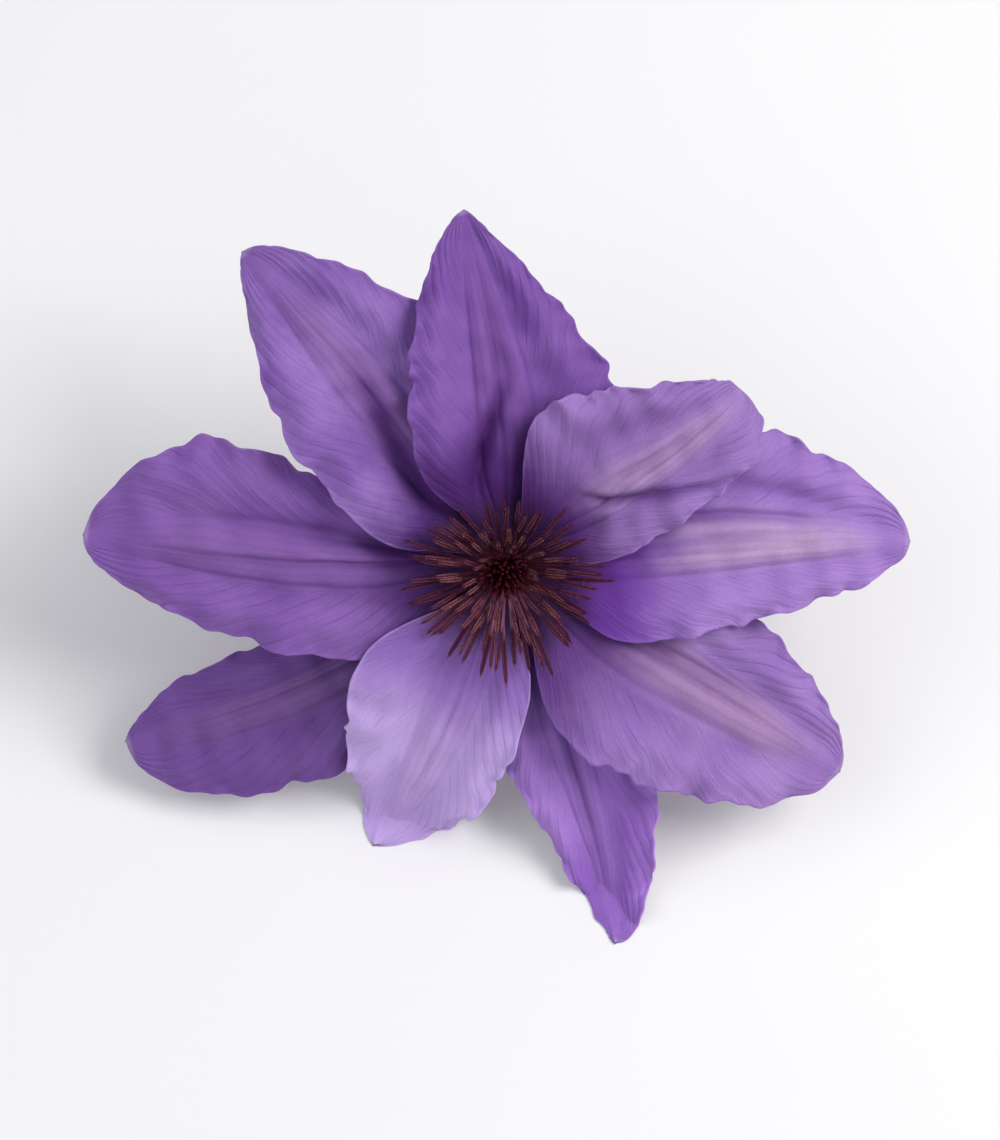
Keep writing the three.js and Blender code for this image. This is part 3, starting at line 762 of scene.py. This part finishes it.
LEAN_SPREAD = (-8, 4)
LENGTH_SPREAD = (0.78, 1.0)
DRIFT = 2.2                 # how far a stamen's tip bends aside
TOP_UPRIGHT = 0.27          # how much less the topmost stamens lean
TOP_SHORT = 0.12
PAINTED_LIGHT_BELOW = 0.8            # how much painted light, a pale pink, the lowest filaments get


def strand_curve(root, height, azimuth, lean, length, share):
    """Places along a strand that leaves the bloom's axis, with the ways to its side and its face."""
    outward = np.array([math.cos(azimuth), math.sin(azimuth), 0.0])
    foot = outward * root + [0, 0, height]
    marks = [foot]
    for degrees, reach in ((lean * 0.7, length * 0.45), (lean, length)):
        way = outward * math.sin(math.radians(degrees)) + [0, 0, math.cos(math.radians(degrees))]
        marks.append(foot + way * reach)
    places = pulled(marks, share)
    ahead = np.gradient(places, axis=0)
    ahead /= np.linalg.norm(ahead, axis=1, keepdims=True)
    side = np.tile([-math.sin(azimuth), math.cos(azimuth), 0.0], (len(places), 1))
    return places, side, np.cross(ahead, side)


def strap_skin():
    """Filaments: pale at the foot, then pinkish, and dark between the sacs, with fine long fibres; those
    below the middle are painted a pale pink as painted light.
    """
    material, start = new_material("filament_skin")
    around, run = start.ways("run")
    light = start.mark("light")
    grain = start.mottle(1600.0, 3.0)
    fibre = (around * 2 * math.pi * 12 + grain * 3.0).sine()
    colour = run.rise(0.0, 0.45).mix(ink("#7c4458"), ink("#6c3048"))
    # Painted light: the filaments below the middle painted pale pink, with fewer dark fibres
    colour = light.mix(colour, ink("#d88cae"))
    colour = (run.rise(0.45, 0.62) * 0.8).mix(colour, ink("#4a1a34"))
    colour = (fibre.rise(0.2, 1.0) * (0.25 - 0.15 * light)).mix(colour, ink("#3c1630"))
    start.coat({
        "Base Color": colour,
        "Roughness": 0.5 + 0.2 * grain,
        "Normal": start.bump(fibre + grain, 0.00006, 0.7),
        "Specular IOR Level": 0.12,
        "Subsurface Weight": 0.15,
        "Subsurface Radius": (1.0, 0.4, 0.5),
        "Subsurface Scale": 0.0005,
    })
    return material


def sac_skin():
    """Pollen sacs: dark purple, browner where ripe, with tan pollen in the slit that faces up."""
    material, start = new_material("pollen_sac_skin")
    around, run = start.ways("run")
    ripe = start.mark("ripe")
    grain = start.mottle(2600.0, 3.0)
    patches = start.mottle(500.0, 2.0)
    slit = abs(around - 0.75).rise(0.16, 0.03) * run.rise(0.03, 0.15) * run.rise(0.98, 0.85)
    colour = ripe.mix(ink("#4c1a42"), ink("#5e2432"))
    colour = (patches.rise(0.4, 0.7) * 0.5).mix(colour, ink("#33101f"))
    pollen = (grain * 0.6 + patches * 0.4).rise(0.3, 0.7).mix(ink("#64303e"), ink("#8e605e"))
    colour = (slit * (0.15 + 0.75 * ripe)).mix(colour, pollen)
    colour = (grain.rise(0.56, 0.66) * ripe * 0.4).mix(colour, ink("#8a625c"))
    start.coat({
        "Base Color": colour,
        "Roughness": 0.62 + 0.2 * grain,
        "Normal": start.bump(grain * 0.8 + patches * 0.4 - slit * 0.5, 0.0001, 0.9),
        "Specular IOR Level": 0.1,
    })
    return material


def grain_skin():
    """Clumps of pollen: a dull tan, speckled with brown."""
    material, start = new_material("pollen_grain_skin")
    speck = start.mottle(5000.0, 2.0)
    start.coat({
        "Base Color": speck.rise(0.35, 0.65).mix(ink("#7c5358"), ink("#a8827c")),
        "Roughness": 0.8 - 0.1 * speck,
        "Normal": start.bump(speck, 0.00005, 0.8),
    })
    return material


def scarred(angle):
    return 1 + SCAR_DEPTH * np.cos(SCARS * angle)


def slit_open(angle):
    return 1 - SLIT_DEPTH * np.exp(-(((angle - np.pi / 2) / SLIT_SPAN) ** 2))


straps, sacs, grains = bmesh.new(), bmesh.new(), bmesh.new()
for shape in (straps, sacs):
    shape.loops.layers.uv.new("run")
light_layer = straps.verts.layers.float.new("light")
ripe_layer = sacs.verts.layers.float.new("ripe")
axis, radius = upright(COLLAR)
tube(straps, COLLAR_SIDES, axis, radius * [1, 0, 0], radius * [0, 1, 0], scarred)

draw = random.Random(31)
share = np.linspace(0, 1, 21)
strap_shape = np.interp(share, *STRAP_SHAPE)
strap_shape[[0, -1]] = 0.0
sac_share = np.linspace(0, 1, 13)
sac_shape = np.clip(np.sin(np.pi * sac_share), 0.0, 1.0) ** 0.28
sac_shape[[0, -1]] = 0.0
for r, ring in enumerate(STAMEN_RINGS):
    for i in range(ring["count"]):
        azimuth = 2 * math.pi * (i + RING_TURN * r + RING_JITTER * draw.random()) / ring["count"]
        top = max(0.0, math.sin(azimuth))
        lean = (ring["lean"] + draw.uniform(*LEAN_SPREAD)) * (1 - TOP_UPRIGHT * top)
        length = ring["length"] * draw.uniform(*LENGTH_SPREAD) * (1 - TOP_SHORT * top)
        places, side, face = strand_curve(ring["root"], STAMEN_FOOT, azimuth, lean, length, share)
        drift = draw.uniform(-DRIFT, DRIFT) * share[:, None] ** 2
        places = places + side * drift
        half = STRAP_HALF * strap_shape[:, None]
        before = len(straps.verts)
        tube(straps, STRAP_SIDES, places, side * half, face * half * STRAP_THICK / STRAP_HALF)
        # Painted light: how far below the middle a stamen sits, which paints its filament paler
        below = max(0.0, -math.sin(azimuth)) ** 6
        straps.verts.ensure_lookup_table()
        for vert in straps.verts[before:]:
            vert[light_layer] = below * PAINTED_LIGHT_BELOW
        low, high = SAC_RUN
        ripeness = min(1.0, max(0.0, ring["ripe"] + draw.uniform(-0.2, 0.2)))
        where = low + (high - low) * sac_share
        line, sides, faces = (read_at(where, share, parts) for parts in (places, side, face))
        for hand in (-1, 1):
            bow = (0.75 + 0.25 * np.sin(np.pi * sac_share))[:, None]
            centre = line + sides * SAC_APART * hand * bow + faces * 0.06
            half = SAC_HALF * sac_shape[:, None]
            before = len(sacs.verts)
            tube(sacs, SAC_SIDES, centre, sides * half * SAC_NARROW, faces * half, slit_open)
            sacs.verts.ensure_lookup_table()
            for vert in sacs.verts[before:]:
                vert[ripe_layer] = ripeness
            for _ in range(round(GRAINS_PER_SAC * ripeness)):
                spot = draw.randrange(1, len(centre) - 1)
                lift = faces[spot] * SAC_HALF * 0.8 + sides[spot] * draw.uniform(-0.2, 0.2)
                at = Matrix.Translation(Vector(centre[spot] + lift))
                size = draw.uniform(*GRAIN_SIZE)
                bmesh.ops.create_icosphere(grains, subdivisions=1, radius=size, matrix=at)
strap_mesh = mesh_of("filaments", straps, lie)
finished("filaments", strap_mesh, [strap_skin()], "stamens", "stamens")
sac_mesh = mesh_of("anthers", sacs, lie)
finished("anthers", sac_mesh, [sac_skin()], "stamens", "stamens")
grain_mesh = mesh_of("pollen", grains, lie)
finished("pollen", grain_mesh, [grain_skin()], "stamens", "stamens")

# ---- Styles ----
# The tuft in the middle: slender styles, one from each seed-to-be, near black and packed close on
# a low cushion. They part a little at their tips, and fine silky hairs lie up along them.
STYLE_COUNT = 60
STYLE_LENGTH = 13.0
STYLE_LEAN = 21
STYLE_HALF = 0.28
STYLE_SPREAD = 1.9
STYLE_FOOT = 2.6
STYLE_SHAPE = (             # its width at shares of its length
    (0, 0.15, 0.7, 0.9, 0.97),
    (1.6, 1.1, 0.85, 0.9, 0.65),
)
OUTER_SHORT = 0.22          # how much shorter the outermost styles are
LENGTH_JITTER = 0.14
STYLE_SIDES = 7
STYLE_SWAY = (0.2, 0.9)     # how far a style's tip bends aside
STYLE_HAIRS = 22
SILK_LENGTH = (0.5, 1.1)
SILK_HALF = 0.03


def style_skin():
    """Styles: a very dark wine red, paler at their tips, with duller red hairs."""
    material, start = new_material("style_skin")
    run = start.ways("run")[1]
    grain = start.mottle(1800.0, 3.0)
    colour = run.rise(0.55, 1.0).mix(ink("#3c0416"), ink("#520f20"))
    colour = (grain.rise(0.5, 0.7) * 0.4).mix(colour, ink("#661c2c"))
    colour = start.mark("hair").mix(colour, ink("#5c1e2c"))
    start.coat({
        "Base Color": colour,
        "Roughness": 0.5 + 0.2 * grain,
        "Normal": start.bump(grain, 0.00008, 0.8),
        "Specular IOR Level": 0.12,
    })
    return material


styles = bmesh.new()
styles.loops.layers.uv.new("run")
hair_layer = styles.verts.layers.float.new("hair")
golden = math.pi * (3 - math.sqrt(5))
share = np.linspace(0, 1, 15)
style_shape = np.interp(share, *STYLE_SHAPE)
style_shape[[0, -1]] = 0.0
for i in range(STYLE_COUNT):
    out = math.sqrt((i + 0.5) / STYLE_COUNT)
    azimuth = i * golden
    length = STYLE_LENGTH * (1 - OUTER_SHORT * out - LENGTH_JITTER * draw.random())
    lean = STYLE_LEAN * out * draw.uniform(0.8, 1.15)
    places, side, face = strand_curve(out * STYLE_SPREAD, STYLE_FOOT, azimuth, lean, length, share)
    sway = draw.uniform(0, 2 * math.pi)
    ways = np.array([math.cos(sway), math.sin(sway), 0.0]) * draw.uniform(*STYLE_SWAY)
    places = places + ways * share[:, None] ** 3
    half = STYLE_HALF * style_shape[:, None]
    tube(styles, STYLE_SIDES, places, side * half, face * half)
    for _ in range(STYLE_HAIRS):
        spot = draw.randrange(2, len(share) - 2)
        turn = draw.uniform(0, 2 * math.pi)
        off = Vector(side[spot] * math.cos(turn) + face[spot] * math.sin(turn))
        on = Vector(places[spot + 1] - places[spot]).normalized()
        aim = (off * 0.55 + on) * draw.uniform(*SILK_LENGTH)
        hair(styles, hair_layer, Vector(places[spot]) + off * STYLE_HALF * 0.7, aim, SILK_HALF)
style_mesh = mesh_of("styles", styles, lie)
finished("style_tuft", style_mesh, [style_skin()], "styles", "styles")

# ---- Surface, light and camera ----
# A plain pale surface under soft light from the front right, seen as the photograph sees it: from
# a little above the way that the bloom faces.
VIEW_ELEVATION = 90 - TILT + 10
VIEW_DISTANCE = 1.3
VIEW_LENS = 203
AIM = Vector((centre_x - 1.0, centre_y - 1.0, CENTRE_HEIGHT + 1.0)) * MM

floor_mesh = bpy.data.meshes.new("surface")
floor_shape = bmesh.new()
bmesh.ops.create_grid(floor_shape, x_segments=1, y_segments=1, size=3.0)
floor_shape.to_mesh(floor_mesh)
floor_shape.free()
floor = bpy.data.objects.new("surface", floor_mesh)
bpy.context.scene.collection.objects.link(floor)
floor_paint, start = new_material("surface_paint")
pale = start.mottle(8.0, 2.0).mix(ink("#e6e5e6"), ink("#ebebeb"))
start.coat({"Base Color": pale, "Roughness": 0.75})
floor_mesh.materials.append(floor_paint)

elevation = math.radians(VIEW_ELEVATION)
to_camera = Vector((0, -math.cos(elevation), math.sin(elevation)))
picture_up = Vector((0, math.sin(elevation), math.cos(elevation)))
picture_right = Vector((1, 0, 0))


def soft_light(name, right, up, near, size, power, colour):
    """A square lamp aimed at the bloom, placed by the way it lies from the camera's view."""
    lamp = bpy.data.lights.new(name, "AREA")
    lamp.size = size
    lamp.energy = power
    lamp.color = colour
    holder = bpy.data.objects.new(name, lamp)
    bpy.context.scene.collection.objects.link(holder)
    away = picture_right * right + picture_up * up + to_camera * near
    holder.location = AIM + away
    holder.rotation_euler = away.to_track_quat("Z", "Y").to_euler()


soft_light("key", 0.75, 0.35, 0.85, 0.7, 11.0, (1.0, 0.985, 0.96))
soft_light("fill", -0.9, 0.2, 0.9, 1.2, 4.0, (0.93, 0.95, 1.0))
world = bpy.data.worlds.new("room")
world.use_nodes = True
world.node_tree.nodes["Background"].inputs["Color"].default_value = (0.95, 0.96, 1.0, 1.0)
world.node_tree.nodes["Background"].inputs["Strength"].default_value = 0.55
bpy.context.scene.world = world

lens = bpy.data.cameras.new("camera")
lens.lens = VIEW_LENS
lens.clip_start = 0.01
camera = bpy.data.objects.new("camera", lens)
bpy.context.scene.collection.objects.link(camera)
camera.location = AIM + to_camera * VIEW_DISTANCE
camera.rotation_euler = to_camera.to_track_quat("Z", "Y").to_euler()
bpy.context.scene.camera = camera
bpy.context.scene.view_settings.view_transform = "Standard"
